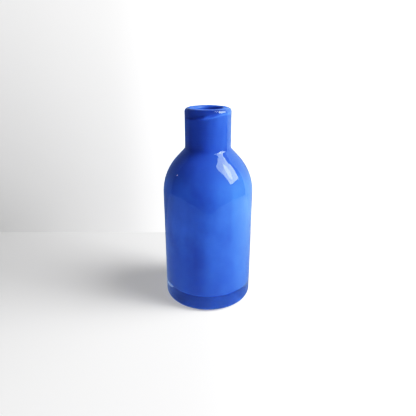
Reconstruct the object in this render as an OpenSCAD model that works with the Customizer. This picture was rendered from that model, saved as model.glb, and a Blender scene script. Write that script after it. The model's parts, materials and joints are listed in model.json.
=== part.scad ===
// Round shouldered bottle of cased glass: an opaque blue bubble with the bore in it,
// covered by a clear layer that runs down into a thick clear base.

/* [Overall] */
// Height from the table to the lip
height = 201; // [190:1:230]
// Outer diameter of the straight body
body_d = 92; // [86:1:100]

/* [Shoulder] */
// Height at which the straight body wall ends
shoulder_start = 116.5; // [100:0.5:120]
// Radius of the shoulder's arc
shoulder_arc = 53; // [47:1:59]
// Angle that the shoulder turns through, from the upright wall
shoulder_turn = 43; // [38:1:50]

/* [Neck] */
// Outer diameter of the neck
neck_d = 46; // [43:0.5:51]
// Diameter of the bore through the neck
bore_d = 27; // [20:0.5:28]
// Radius of the hollow corner between the shoulder and the neck
neck_fillet = 4.5; // [3:0.5:8]

/* [Layers of glass] */
// Thickness of the clear layer on the body
casing_wall = 3.6; // [2.5:0.1:4]
// Thickness of the clear layer on the neck
casing_neck_wall = 4.4; // [3.8:0.1:5]
// Thickness of the blue layer on the body
lining_wall = 2.4; // [2:0.1:3.2]

/* [Base] */
// Height at which the blue layer's upright wall begins
lining_start = 20; // [18:0.5:26]
// Height of the blue layer's underside above the table, in the middle
base_clear = 13; // [12:0.5:14]
// Radius of the blue layer's heel
heel_r = 5; // [3:0.5:5.5]
// Radius of the bottle's bottom edge
foot_r = 5; // [2:0.5:6]
// Height that the bottom is pushed up in the middle, so that the bottle stands on a ring
kick_h = 7; // [2:0.5:9]
// Radius of the pushed-up hollow
kick_r = 36; // [20:1:40]

/* [Lip] */
// Radius of the lip's outer edge
lip_r = 3.6; // [1:0.1:4]
// Radius of the lip's edge at the bore
bore_edge_r = 2.4; // [0.5:0.1:3.5]

/* [Hidden] */
$fn = 128;

body_r = body_d / 2;
neck_r = neck_d / 2;
bore_r = bore_d / 2;
arc_steps = 14;
core_r = body_r - casing_wall;
core_neck_r = neck_r - casing_neck_wall;
// The blue layer's underside is a shallow dome, tangent to the heel
dome_drop = lining_start - base_clear;
dome_r = ((core_r - heel_r) ^ 2 + dome_drop ^ 2 - heel_r ^ 2) / (2 * (dome_drop - heel_r));
dome_angle = asin((core_r - heel_r) / (dome_r - heel_r));
// The hollow under the base is part of a sphere
kick_sphere_r = (kick_r ^ 2 + kick_h ^ 2) / (2 * kick_h);
kick_angle = asin(kick_r / kick_sphere_r);

// Points along an arc, both ends included
function arc(centre, r, from, to) =
    [for (i = [0 : arc_steps])
        let (a = from + (to - from) * i / arc_steps) centre + r * [cos(a), sin(a)]];

// Shoulder line of the surface that lies depth inside the bottle's outside,
// from the body wall up to a neck of radius r
function shoulder(depth, r) =
    let (
        centre = [body_r - shoulder_arc, shoulder_start],
        fillet = neck_fillet + neck_r - r,
        out = [cos(shoulder_turn), sin(shoulder_turn)],
        reach = out * centre + shoulder_arc - depth,
        neck_z = (reach + fillet - out.x * (r + fillet)) / out.y
    )
    concat(
        arc(centre, shoulder_arc - depth, 0, shoulder_turn),
        arc([r + fillet, neck_z], fillet, 180 + shoulder_turn, 180)
    );

// Round bottom of the blue layer, depth inside its outer surface, from the axis to the wall
function dome(depth) =
    concat(
        arc([0, base_clear + dome_r], dome_r - depth, -90, dome_angle - 90),
        arc([core_r - heel_r, lining_start], heel_r - depth, dome_angle - 90, 0)
    );

function reversed(points) = [for (i = [len(points) - 1 : -1 : 0]) points[i]];

// Outer surface of the blue layer, from the axis at the bottom to its neck
core_line = concat(dome(0), shoulder(casing_wall, core_neck_r));

// Clear glass over the whole bottle, with the thick base in one piece with it
module clear_casing() {
    color([0.86, 0.91, 0.97, 0.35])
    rotate_extrude()
    polygon(concat(
        arc([0, kick_h - kick_sphere_r], kick_sphere_r, 90, 90 - kick_angle),
        arc([body_r - foot_r, foot_r], foot_r, -90, 0),
        shoulder(0, neck_r),
        arc([neck_r - lip_r, height - lip_r], lip_r, 0, 90),
        [[core_neck_r, height]],
        reversed(core_line)
    ));
}

// Opaque blue bubble, which holds the contents and carries the bore
module blue_lining() {
    color([0.12, 0.27, 0.85])
    rotate_extrude()
    polygon(concat(
        core_line,
        [[core_neck_r, height]],
        arc([bore_r + bore_edge_r, height - bore_edge_r], bore_edge_r, 90, 180),
        reversed(shoulder(casing_wall + lining_wall, bore_r)),
        reversed(dome(lining_wall))
    ));
}

clear_casing();
blue_lining();
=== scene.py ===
import bpy
import json
import math
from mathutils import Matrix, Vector


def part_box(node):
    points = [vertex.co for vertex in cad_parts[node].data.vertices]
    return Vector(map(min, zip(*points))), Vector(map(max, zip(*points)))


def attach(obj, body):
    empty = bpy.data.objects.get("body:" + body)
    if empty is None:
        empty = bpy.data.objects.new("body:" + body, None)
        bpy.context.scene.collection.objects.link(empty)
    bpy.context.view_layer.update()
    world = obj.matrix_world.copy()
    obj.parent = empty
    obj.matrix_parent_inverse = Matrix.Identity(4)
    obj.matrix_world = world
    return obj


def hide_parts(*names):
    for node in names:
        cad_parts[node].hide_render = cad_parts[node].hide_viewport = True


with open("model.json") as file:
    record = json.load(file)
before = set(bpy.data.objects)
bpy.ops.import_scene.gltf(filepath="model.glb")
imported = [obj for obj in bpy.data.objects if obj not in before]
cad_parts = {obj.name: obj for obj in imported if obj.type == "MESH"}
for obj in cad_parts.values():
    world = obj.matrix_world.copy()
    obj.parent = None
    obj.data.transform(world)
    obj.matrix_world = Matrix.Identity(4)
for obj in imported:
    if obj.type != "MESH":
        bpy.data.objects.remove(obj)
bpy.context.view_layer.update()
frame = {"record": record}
mm = 0.001

_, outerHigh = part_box("clear_casing")
liningLow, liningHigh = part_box("blue_lining")
mounts = {m["name"]: m for m in frame["record"]["mounts"]}

# Sizes that both layers of glass share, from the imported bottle
bottle = {
    "height": outerHigh.z,
    "bodyRadius": outerHigh.x,
    "coreRadius": liningHigh.x,  # outside of the blue glass
    "baseClear": liningLow.z,  # from the table to the blue, in the middle
    "boreRadius": mounts["mouth"]["dims"]["r_mm"] * mm,
    "neckRadius": 23.0 * mm,
    "neckCoreRadius": 18.6 * mm,
    "liningWall": 2.4 * mm,
    "liningStart": 20.0 * mm,
    "heel": 5.0 * mm,
    "shoulderStart": 116.5 * mm,
    "shoulderArc": 53.0 * mm,
    "shoulderTurn": 43,
    "neckFillet": 4.5 * mm,
    "foot": 5.0 * mm,
    "kickHeight": 7.0 * mm,
    "kickRadius": 36.0 * mm,
    "lip": 3.6 * mm,
    "boreEdge": 2.4 * mm,
    "rimEdge": 0.5 * mm,  # the blue's outer line ends this far below the lip
    "crease": 35,  # degrees: sharper corners than this stay sharp
    "sides": 176,
    # steps along each stretch of the outlines
    "arcSteps": 12,
    "wallSteps": 10,
    "bulgeSteps": 24,
    "slopeSteps": 4,
    "kickSteps": 20,
    "bodySteps": 28,
    "coreSteps": 20,
    "cavitySteps": 16,
    "neckSteps": 14,
}
casingWall = bottle["bodyRadius"] - bottle["coreRadius"]  # thickness of the clear layer on the body


# Outlines are lists of (radius, height) from the middle of the bottom

def arc(centreR, centreZ, radius, start, end, steps=bottle["arcSteps"]):
    angles = [math.radians(start + (end - start) * i / steps) for i in range(steps + 1)]
    return [(centreR + radius * math.cos(a), centreZ + radius * math.sin(a)) for a in angles]


def straight(a, b, steps=bottle["wallSteps"]):
    # the points between two ends, without the ends
    return [(a[0] + (b[0] - a[0]) * i / steps, a[1] + (b[1] - a[1]) * i / steps)
            for i in range(1, steps)]


def shoulderLine(depth, neck):
    # the line that lies depth inside the outside, up to a neck of that radius
    b = bottle
    turn = math.radians(b["shoulderTurn"])
    centreR = b["bodyRadius"] - b["shoulderArc"]
    fillet = b["neckFillet"] + b["neckRadius"] - neck
    reach = math.cos(turn) * centreR + math.sin(turn) * b["shoulderStart"] + b["shoulderArc"] - depth
    neckZ = (reach + fillet - math.cos(turn) * (neck + fillet)) / math.sin(turn)
    bulge = arc(centreR, b["shoulderStart"], b["shoulderArc"] - depth, 0, b["shoulderTurn"], b["bulgeSteps"])
    corner = arc(neck + fillet, neckZ, fillet, 180 + b["shoulderTurn"], 180)
    return bulge + straight(bulge[-1], corner[0], b["slopeSteps"]) + corner


def domeLine(depth):
    # the blue's round bottom, depth inside its outer surface
    b = bottle
    drop = b["liningStart"] - b["baseClear"]
    flat = b["coreRadius"] - b["heel"]
    radius = (flat ** 2 + drop ** 2 - b["heel"] ** 2) / (2 * (drop - b["heel"]))
    lean = math.degrees(math.asin(flat / (radius - b["heel"])))
    bottom = arc(0, b["baseClear"] + radius, radius - depth, -90, lean - 90)
    heel = arc(flat, b["liningStart"], b["heel"] - depth, lean - 90, 0)
    return bottom[1:] + heel[1:]


# The blue is pinched in all round below the lip, where the jacks gripped the neck
pinch = {
    "depth": 2.4 * mm,
    "centre": 5.6 * mm,  # below the lip
    "lower": 2.6 * mm,  # height of the steep side, below the centre
    "upper": 5.0 * mm,  # height of the gentle side, above it
    "fade": 7.0 * mm,  # the lean dies away this far below the centre
    "lean": 11.0,  # degrees, high on the right
    "steps": 40,
}


def swell(z, centre, below, above):
    # 1 at the centre, falling smoothly to 0 at its two ends
    reach = (z - centre) / (below if z < centre else above)
    return math.cos(min(1, abs(reach)) * math.pi / 2) ** 2


def pinchedNeck(radius, top):
    # these points have a third value, the ring's lean in degrees
    p = pinch
    centre = bottle["height"] - p["centre"]
    points = []
    for i in range(p["steps"] + 1):
        z = centre - p["fade"] + (top - centre + p["fade"]) * i / p["steps"]
        squeeze = p["depth"] * swell(z, centre, p["lower"], p["upper"])
        points.append((radius - squeeze, z, p["lean"] * swell(z, centre, p["fade"], top - centre)))
    return points


def coreLine(skin):
    # the blue's outer surface, grown by skin: the same line shapes the inside of the casing
    b = bottle
    start = domeLine(-skin)
    wall = shoulderLine(casingWall - skin, b["neckCoreRadius"] + skin)
    neck = pinchedNeck(b["neckCoreRadius"] + skin, b["height"] - skin - b["rimEdge"])
    side = straight(start[-1], wall[0], b["coreSteps"])
    return start + side + wall + straight(wall[-1], neck[0]) + neck


def casingOutline():
    b = bottle
    big = (b["kickRadius"] ** 2 + b["kickHeight"] ** 2) / (2 * b["kickHeight"])
    turn = math.degrees(math.asin(b["kickRadius"] / big))
    kick = arc(0, b["kickHeight"] - big, big, 90, 90 - turn, b["kickSteps"])[1:]
    foot = arc(b["bodyRadius"] - b["foot"], b["foot"], b["foot"], -90, 0)
    wall = shoulderLine(0, b["neckRadius"])
    lip = arc(b["neckRadius"] - b["lip"], b["height"] - b["lip"], b["lip"], 0, 90)
    side = straight(foot[-1], wall[0], b["bodySteps"])
    neck = straight(wall[-1], lip[0], b["neckSteps"])
    rim = [(b["neckCoreRadius"], b["height"])]
    return kick + foot + side + wall + neck + lip + rim + coreLine(0)[::-1]


def liningOutline():
    b = bottle
    top = b["height"] - lining["skin"]
    rim = [(b["neckCoreRadius"] + lining["skin"], top)]
    edge = arc(b["boreRadius"] + b["boreEdge"], top - b["boreEdge"], b["boreEdge"], 90, 180)
    wall = shoulderLine(casingWall + b["liningWall"], b["boreRadius"])
    floor = domeLine(b["liningWall"])
    side = straight(wall[0], floor[-1], b["cavitySteps"])
    inside = edge + straight(edge[-1], wall[-1]) + wall[::-1] + side + floor[::-1]
    return coreLine(lining["skin"]) + rim + inside


def turnGlass(name, outline):
    # a disc whose edge is drawn out ring by ring along the outline
    bpy.ops.object.select_all(action="DESELECT")
    radius, height = outline[0]
    bpy.ops.mesh.primitive_circle_add(vertices=bottle["sides"], radius=radius, fill_type="TRIFAN",
                                      location=(0, 0, height))
    piece = bpy.context.active_object
    piece.name = piece.data.name = name
    bpy.ops.object.transform_apply(location=True)
    bpy.ops.object.mode_set(mode="EDIT")
    bpy.ops.mesh.select_mode(type="EDGE")
    bpy.ops.mesh.select_all(action="SELECT")
    bpy.ops.mesh.region_to_loop()
    lean = 0
    for nextRadius, nextHeight, *nextLean in outline[1:]:
        bpy.ops.mesh.extrude_edges_move(TRANSFORM_OT_translate={"value": (0, 0, nextHeight - height)})
        k = nextRadius / radius
        bpy.ops.transform.resize(value=(k, k, k), center_override=(0, 0, nextHeight))
        turn = (nextLean[0] if nextLean else 0) - lean
        if turn:
            bpy.ops.transform.rotate(value=math.radians(turn), orient_axis="Y",
                                     center_override=(0, 0, nextHeight))
        radius, height, lean = nextRadius, nextHeight, lean + turn
    bpy.ops.mesh.edge_face_add()
    bpy.ops.mesh.poke()
    bpy.ops.mesh.select_all(action="SELECT")
    bpy.ops.mesh.normals_make_consistent(inside=False)
    bpy.ops.object.mode_set(mode="OBJECT")
    bpy.ops.object.shade_smooth_by_angle(angle=math.radians(bottle["crease"]))
    return piece


def newMaterial(name):
    material = bpy.data.materials.new(name)
    material.use_nodes = True
    tree = material.node_tree
    return material, tree, tree.nodes["Principled BSDF"]


def patternNoise(tree, stretch, scale, detail=3.0, roughness=0.5):
    # a noise pattern in the piece's own space, stretched along each axis
    place = tree.nodes.new("ShaderNodeTexCoord")
    turn = tree.nodes.new("ShaderNodeMapping")
    turn.inputs["Scale"].default_value = stretch
    noise = tree.nodes.new("ShaderNodeTexNoise")
    noise.inputs["Scale"].default_value = scale
    noise.inputs["Detail"].default_value = detail
    noise.inputs["Roughness"].default_value = roughness
    tree.links.new(place.outputs["Object"], turn.inputs["Vector"])
    tree.links.new(turn.outputs["Vector"], noise.inputs["Vector"])
    return noise.outputs["Fac"]


def rangeOf(tree, value, low, high, fromLow=0.3, fromHigh=0.7, curve="LINEAR"):
    node = tree.nodes.new("ShaderNodeMapRange")
    node.interpolation_type = curve
    node.inputs["From Min"].default_value = fromLow
    node.inputs["From Max"].default_value = fromHigh
    node.inputs["To Min"].default_value = low
    node.inputs["To Max"].default_value = high
    tree.links.new(value, node.inputs["Value"])
    return node.outputs["Result"]


def along(tree, axis, low, high, fromLow, fromHigh):
    # a value that goes from low to high along an axis
    place = tree.nodes.new("ShaderNodeTexCoord")
    split = tree.nodes.new("ShaderNodeSeparateXYZ")
    tree.links.new(place.outputs["Object"], split.inputs["Vector"])
    return rangeOf(tree, split.outputs[axis], low, high, fromLow, fromHigh, "SMOOTHSTEP")


# The clear layer of glass, with the base

casing = {
    "tint": (0.94, 0.965, 1.0),
    "ior": 1.45,
    "polish": 0.0,  # roughness where the glass is clean
    "smear": 0.03,  # roughness where it has been handled
    # each pattern's stretch, scale and detail
    "smears": ((1, 1, 0.6), 30, 3.0),
    "smearFrom": (0.5, 0.75),
    "cords": ((1, 1, 0.2), 55, 1.0),  # fine upright waves in the glass
    "cordDepth": 0.03 * mm,
}


def clearGlass():
    material, tree, glass = newMaterial("clear glass")
    glass.inputs["Base Color"].default_value = (*casing["tint"], 1)
    glass.inputs["IOR"].default_value = casing["ior"]
    glass.inputs["Transmission Weight"].default_value = 1.0
    glass.inputs["Coat Weight"].default_value = 1.0  # the fire-polished skin
    glass.inputs["Coat Roughness"].default_value = 0.0
    glass.inputs["Coat IOR"].default_value = casing["ior"]
    smears = patternNoise(tree, *casing["smears"])
    rough = rangeOf(tree, smears, casing["polish"], casing["smear"], *casing["smearFrom"])
    tree.links.new(rough, glass.inputs["Roughness"])
    cords = patternNoise(tree, *casing["cords"])
    bump = tree.nodes.new("ShaderNodeBump")
    bump.inputs["Distance"].default_value = casing["cordDepth"]
    tree.links.new(cords, bump.inputs["Height"])
    tree.links.new(bump.outputs["Normal"], glass.inputs["Normal"])
    return material


clearCasing = turnGlass("clearCasing", casingOutline())
clearCasing.data.materials.append(clearGlass())
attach(clearCasing, "root")
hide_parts("clear_casing")
print("clear casing", len(clearCasing.data.polygons), "faces")


# The opaque blue layer inside it

lining = {
    "skin": 0.04 * mm,  # how far it is sunk into the clear glass, so that no gap shows
    "blueDark": (0.036, 0.1, 0.52),
    "blueLight": (0.082, 0.235, 0.92),
    "borePaintedShade": 0.6,  # painted shade: the bore's blue is darkened, standing in for the shade inside the mouth
    "neckPaintedShade": 0.1,  # painted shade: up the neck the blue is kept near its dark end, deepening the neck's shaded side
    "neckFrom": (0.125, 0.15),
    "heelDarkening": 0.5,  # and the blue turns darker towards the heel
    "heelTo": (0.025, 0.085),
    # each pattern's stretch, scale, detail and roughness
    "streaks": ((1, 1, 0.12), 38, 2.0),
    "streakFrom": (0.33, 0.67),
    "clouds": ((1, 1, 0.8), 26, 4.0, 0.6),
    "cloudFrom": (0.32, 0.68),
    "ior": 1.5,
    "boreGloss": 0.45,
    "boreRough": (0.06, 0.16),
    "coveredRough": (0.5, 0.7),  # where the clear glass lies on it, it has no gloss of its own
    "boreFrom": 0.15,  # height above which the bore's own gloss shows
}


def blueGlass(name, gloss):
    material, tree, glass = newMaterial(name)
    streaks = patternNoise(tree, *lining["streaks"])
    clouds = patternNoise(tree, *lining["clouds"])
    both = tree.nodes.new("ShaderNodeMath")
    both.operation = "ADD"
    tree.links.new(rangeOf(tree, streaks, 0, 0.5, *lining["streakFrom"]), both.inputs[0])
    tree.links.new(rangeOf(tree, clouds, 0, 0.5, *lining["cloudFrom"]), both.inputs[1])
    mix = tree.nodes.new("ShaderNodeMix")
    mix.data_type = "RGBA"
    # painted shade: in the bore both blues are darkened for the shade inside the mouth
    shadeInBore = lining["borePaintedShade"] if gloss else 1
    mix.inputs["A"].default_value = (*[c * shadeInBore for c in lining["blueDark"]], 1)
    mix.inputs["B"].default_value = (*[c * shadeInBore for c in lining["blueLight"]], 1)
    share = both.outputs["Value"]  # of the light blue: less on the neck as painted shade, and less towards the heel
    shadeUpNeck = (1, lining["neckPaintedShade"], *lining["neckFrom"])
    fromHeel = (lining["heelDarkening"], 1, *lining["heelTo"])
    for change in (shadeUpNeck, fromHeel):
        less = tree.nodes.new("ShaderNodeMath")
        less.operation = "MULTIPLY"
        tree.links.new(share, less.inputs[0])
        tree.links.new(along(tree, "Z", *change), less.inputs[1])
        share = less.outputs["Value"]
    tree.links.new(share, mix.inputs["Factor"])
    tree.links.new(mix.outputs["Result"], glass.inputs["Base Color"])
    glass.inputs["IOR"].default_value = lining["ior"]
    glass.inputs["Specular IOR Level"].default_value = lining["boreGloss"] if gloss else 0.0
    rough = lining["boreRough"] if gloss else lining["coveredRough"]
    tree.links.new(rangeOf(tree, clouds, *rough), glass.inputs["Roughness"])
    return material


blueLining = turnGlass("blueLining", liningOutline())
blueLining.data.materials.append(blueGlass("blue glass under the casing", False))
blueLining.data.materials.append(blueGlass("blue glass of the bore", True))
boreReach = bottle["boreRadius"] + bottle["boreEdge"]
for face in blueLining.data.polygons:
    fromAxis = face.center.to_2d()
    facesAxis = fromAxis.dot(face.normal.to_2d()) < 0
    inBore = facesAxis and fromAxis.length < boreReach and face.center.z > lining["boreFrom"]
    face.material_index = 1 if inBore else 0
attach(blueLining, "root")
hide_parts("blue_lining")
print("blue lining", len(blueLining.data.polygons), "faces")


# White table and backdrop

unit = 45 * mm  # the stage is laid out in steps of this length

stage = {
    "tableLow": -0.15 * mm,  # the polished foot never quite touches the table
    "tableLeft": -15.6 * unit,
    "tableRight": 13.5 * unit,
    "tableFront": -6.9 * unit,
    "wallY": 3.32 * unit,
    "wallHeight": 14 * unit,
    "rough": 0.9,
    "tableWhiteAndPaintedLight": (0.52, 1.0),  # painted light: left and right, paler to the right as though lit more from the window
    "tablePaintedGlow": (0.51, 1.1),  # painted light: the table's own glow, brighter to the right, lifts its shadow and its lit side
    "tableAcross": (-0.5 * unit, 3.5 * unit),
    # painted light: the backdrop is paler and glows more to the right, as though lit from the window
    "wallWhiteAndPaintedLight": (0.62, 0.8),
    "wallPaintedGlow": (0.7, 2.1),
    "wallAcross": (-2.9 * unit, 0.2 * unit),
    "shadeAt": (-7.0 * unit, 3.32 * unit, 0.2 * unit),  # the dim corner on the left
    "shadeReach": 7.5 * unit,
    "tableShade": 0.75,
    "wallShade": 0.58,
    "inGlassColour": (0.6, 0.85, 1.5),
    "wallInGlass": (0.24, 0.9),  # how bright the glass sees the backdrop, left and right
    "wallInGlassAcross": (-5.5 * unit, 5.0 * unit),
    "tableInGlass": (0.13, 0.4),  # the table is dim near the camera
    "tableDimAt": (0, -7.5 * unit, 0),
    "tableDimReach": 5.0 * unit,
    "tableSheen": 0.85,  # and brighter towards the window
    "tableSheenAt": (7.5 * unit, 2.0 * unit, 0),
    "tableSheenReach": 7.0 * unit,
    "floorReach": 60 * unit,
}


def near(tree, point, reach, here, beyond):
    # a value that changes with the distance from a point
    place = tree.nodes.new("ShaderNodeTexCoord")
    away = tree.nodes.new("ShaderNodeVectorMath")
    away.operation = "DISTANCE"
    away.inputs[1].default_value = point
    tree.links.new(place.outputs["Object"], away.inputs[0])
    return rangeOf(tree, away.outputs["Value"], here, beyond, 0, reach)


def matte(name, white, glow, ends, corner):
    # painted light: both its colour and its own glow rise from left to right, and painted shade dims the far
    # corner
    material, tree, paint = newMaterial(name)
    paint.inputs["Roughness"].default_value = stage["rough"]
    paint.inputs["Specular IOR Level"].default_value = 0.0
    paint.inputs["Emission Color"].default_value = (1, 1, 1, 1)
    shade = near(tree, stage["shadeAt"], stage["shadeReach"], corner, 1)
    for levels, socket in ((white, "Base Color"), (glow, "Emission Strength")):
        fade = tree.nodes.new("ShaderNodeMath")
        fade.operation = "MULTIPLY"
        tree.links.new(shade, fade.inputs[0])
        tree.links.new(along(tree, "X", *levels, *ends), fade.inputs[1])
        tree.links.new(fade.outputs["Value"], paint.inputs[socket])
    return material, tree, paint


def oneSided(material, tree, front):
    # seen from behind, the backdrop isn't there, so the back of the bottle can be looked at
    side = tree.nodes.new("ShaderNodeNewGeometry")
    clear = tree.nodes.new("ShaderNodeBsdfTransparent")
    mix = tree.nodes.new("ShaderNodeMixShader")
    tree.links.new(side.outputs["Backfacing"], mix.inputs["Fac"])
    tree.links.new(front, mix.inputs[1])
    tree.links.new(clear.outputs["BSDF"], mix.inputs[2])
    tree.links.new(mix.outputs["Shader"], tree.nodes["Material Output"].inputs["Surface"])
    return material


def panel(name, corners, material):
    mesh = bpy.data.meshes.new(name)
    mesh.from_pydata(corners, [], [tuple(range(len(corners)))])
    piece = bpy.data.objects.new(name, mesh)
    bpy.context.collection.objects.link(piece)
    piece.data.materials.append(material)
    return piece


def hide(piece, *rays):
    # rays of these kinds pass the piece by
    for ray in rays:
        setattr(piece, "visible_" + ray, False)


def level(left, right, front, back, z):
    return [(left, front, z), (right, front, z), (right, back, z), (left, back, z)]


def upright(left, right, y, bottom, top):
    return [(left, y, bottom), (right, y, bottom), (right, y, top), (left, y, top)]


s = stage
tableCorners = level(s["tableLeft"], s["tableRight"], s["tableFront"], s["wallY"], s["tableLow"])
tableTop, _, _ = matte("white table", s["tableWhiteAndPaintedLight"], s["tablePaintedGlow"], s["tableAcross"], s["tableShade"])
table = panel("table", tableCorners, tableTop)
hide(table, "glossy")

wallCorners = upright(s["tableLeft"], s["tableRight"], s["wallY"], s["tableLow"], s["wallHeight"])
paint, tree, shader = matte("white backdrop", s["wallWhiteAndPaintedLight"], s["wallPaintedGlow"], s["wallAcross"], s["wallShade"])
backdrop = panel("backdrop", wallCorners, oneSided(paint, tree, shader.outputs["BSDF"]))
hide(backdrop, "glossy", "diffuse", "transmission")


def seenInGlass(name, corners, *others):
    # what the glass shows instead of the white surfaces: dimmer, so that the blue stays deep
    material = bpy.data.materials.new(name)
    material.use_nodes = True
    light = material.node_tree.nodes.new("ShaderNodeEmission")
    light.inputs["Color"].default_value = (*stage["inGlassColour"], 1)
    piece = panel(name, corners, oneSided(material, material.node_tree, light.outputs["Emission"]))
    hide(piece, "camera", "diffuse", "shadow", *others)
    return material.node_tree, light.inputs["Strength"]


behindWall = upright(s["tableLeft"], s["tableRight"], s["wallY"] + mm, s["tableLow"], s["wallHeight"])
inGlass, strength = seenInGlass("backdropInGlass", behindWall)
inGlass.links.new(along(inGlass, "X", *s["wallInGlass"], *s["wallInGlassAcross"]), strength)

inGlass, strength = seenInGlass("tableInGlass", tableCorners, "transmission")
dim = near(inGlass, s["tableDimAt"], s["tableDimReach"], *s["tableInGlass"])
sheen = near(inGlass, s["tableSheenAt"], s["tableSheenReach"], s["tableSheen"], 0)
both = inGlass.nodes.new("ShaderNodeMath")
inGlass.links.new(dim, both.inputs[0])
inGlass.links.new(sheen, both.inputs[1])
inGlass.links.new(both.outputs["Value"], strength)

# floor beyond the table, so that other views of the bottle have a plain pale ground too
far = s["floorReach"]
beyond = panel("floorBeyond", level(-far, far, -far, far, s["tableLow"] - mm), tableTop)
hide(beyond, "diffuse", "glossy", "transmission", "shadow")


# Light: a tall window on the right, which shows only as the highlight, softboxes that give
# its light, and the small lamps of the room

window = {
    "away": 14 * unit,  # distance to the right
    "sill": 3.1 * unit,  # the outline's heights are from here
    "lower": [(0.0, 0.29), (0.14, 0.86), (0.05, 1.27), (-0.86, 1.27), (-0.57, 0.32)],
    "upper": [(0.05, 1.27), (-0.32, 1.84), (-0.94, 2.84), (-1.19, 2.17), (-0.86, 1.27)],
    "gap": [(-0.33, 0.4), (-0.22, 0.7), (-0.18, 1.0), (-0.13, 1.4), (-0.3, 1.42), (-0.47, 1.0),
            (-0.48, 0.6)],
    "lowerLight": 7.5,
    "upperLight": 5.0,
    "gapLight": 13.0,
    "colour": (0.84, 1.0, 1.2),
}


def glow(name, colour, strength):
    material, tree, _ = newMaterial(name)
    light = tree.nodes.new("ShaderNodeEmission")
    light.inputs["Color"].default_value = (*colour, 1)
    light.inputs["Strength"].default_value = strength
    tree.links.new(light.outputs["Emission"], tree.nodes["Material Output"].inputs["Surface"])
    return material


def pane(name, outline, x, strength):
    w = window
    corners = [(x, y * w["away"], w["sill"] + z * w["away"]) for y, z in outline]
    hide(panel(name, corners, glow(name, w["colour"], strength)), "camera", "diffuse", "transmission")


pane("windowLower", window["lower"], window["away"], window["lowerLight"])
pane("windowUpper", window["upper"], window["away"], window["upperLight"])
pane("gapInTheCurtain", window["gap"], window["away"] - mm, window["gapLight"])


def softbox(name, where, facing, width, height, radiance):
    # an area light that the glass doesn't mirror
    data = bpy.data.lights.new(name, "AREA")
    data.shape = "RECTANGLE"
    data.size, data.size_y = width, height
    data.energy = radiance * math.pi * width * height
    light = bpy.data.objects.new(name, data)
    light.location = where
    light.rotation_euler = Vector(facing).to_track_quat("-Z", "Y").to_euler()
    hide(light, "camera", "glossy")
    bpy.context.collection.objects.link(light)
    return light


# each one's place, the way it faces, its width and height, and its brightness
softboxes = {
    "key": ((14 * unit, -2.4 * unit, 8.6 * unit), (-14, 2.4, -6.4), 6 * unit, 4.6 * unit, 76),
    "sky": ((8 * unit, -1.5 * unit, 13 * unit), (-8, 1.5, -10), 8 * unit, 8 * unit, 30),
    "card": ((-4.0 * unit, -2.8 * unit, 1.1 * unit), (1, 0.55, 0), 2.6 * unit, 1.6 * unit, 10.5),
}
boxLights = {name: softbox(name, *values) for name, values in softboxes.items()}

# the card lifts the body's dim side, and lights nothing else
onlyBottle = bpy.data.collections.new("onlyBottle")
for piece in (clearCasing, blueLining):
    onlyBottle.objects.link(piece)
boxLights["card"].light_linking.receiver_collection = onlyBottle

lamps = {
    "heart": (0, 0, 3.2 * unit),
    "away": 9 * unit,
    "size": 0.14 * unit,
    "radiance": 10.0,
    "directions": [(-0.94, 0.08, 0.32), (-0.57, 0.0, 0.82), (0.93, -0.31, 0.18)],
}
for i, direction in enumerate(lamps["directions"]):
    data = bpy.data.lights.new("lamp%d" % i, "POINT")
    data.shadow_soft_size = lamps["size"]
    data.energy = lamps["radiance"] * 4 * (math.pi * lamps["size"]) ** 2
    lamp = bpy.data.objects.new("lamp%d" % i, data)
    lamp.location = [h + lamps["away"] * d for h, d in zip(lamps["heart"], direction)]
    hide(lamp, "camera")
    bpy.context.collection.objects.link(lamp)

# how bright the room is: as light, in reflections, and behind everything
room = {"soft": 0.03, "inGlass": 0.04, "pale": 1.5}
world = bpy.data.worlds.new("room")
bpy.context.scene.world = world
world.use_nodes = True
tree = world.node_tree
rays = tree.nodes.new("ShaderNodeLightPath")
glossy = rangeOf(tree, rays.outputs["Is Glossy Ray"], room["soft"], room["inGlass"], 0, 1)
toCamera = tree.nodes.new("ShaderNodeMix")
toCamera.inputs["B"].default_value = room["pale"]
tree.links.new(rays.outputs["Is Camera Ray"], toCamera.inputs["Factor"])
tree.links.new(glossy, toCamera.inputs["A"])
tree.links.new(toCamera.outputs["Result"], tree.nodes["Background"].inputs["Color"])

# Camera
view = {
    "lens": 34.27,
    "sensor": 36,
    "place": (0, -388.1 * mm, 249.8 * mm),
    "down": 21.45,  # degrees below level
}
cameraData = bpy.data.cameras.new("camera")
cameraData.lens = view["lens"]
cameraData.sensor_width = view["sensor"]
camera = bpy.data.objects.new("camera", cameraData)
camera.location = view["place"]
camera.rotation_euler = (math.radians(90 - view["down"]), 0, 0)
bpy.context.collection.objects.link(camera)
bpy.context.scene.camera = camera

# A camera's own response: more contrast in the darks, and brights that roll off softly to white
response = {
    "contrast": 0.77,
    "white": 2.2,
    "curve": [(0.15, 0.33), (0.29, 0.56), (0.55, 0.82), (0.75, 0.93)],
}
look = bpy.context.scene.view_settings
look.view_transform = "Standard"
look.gamma = response["contrast"]
look.use_curve_mapping = True
look.curve_mapping.white_level = (response["white"],) * 3
for x, y in response["curve"]:
    look.curve_mapping.curves[3].points.new(x, y)
look.curve_mapping.update()
print("stage, window and camera set")
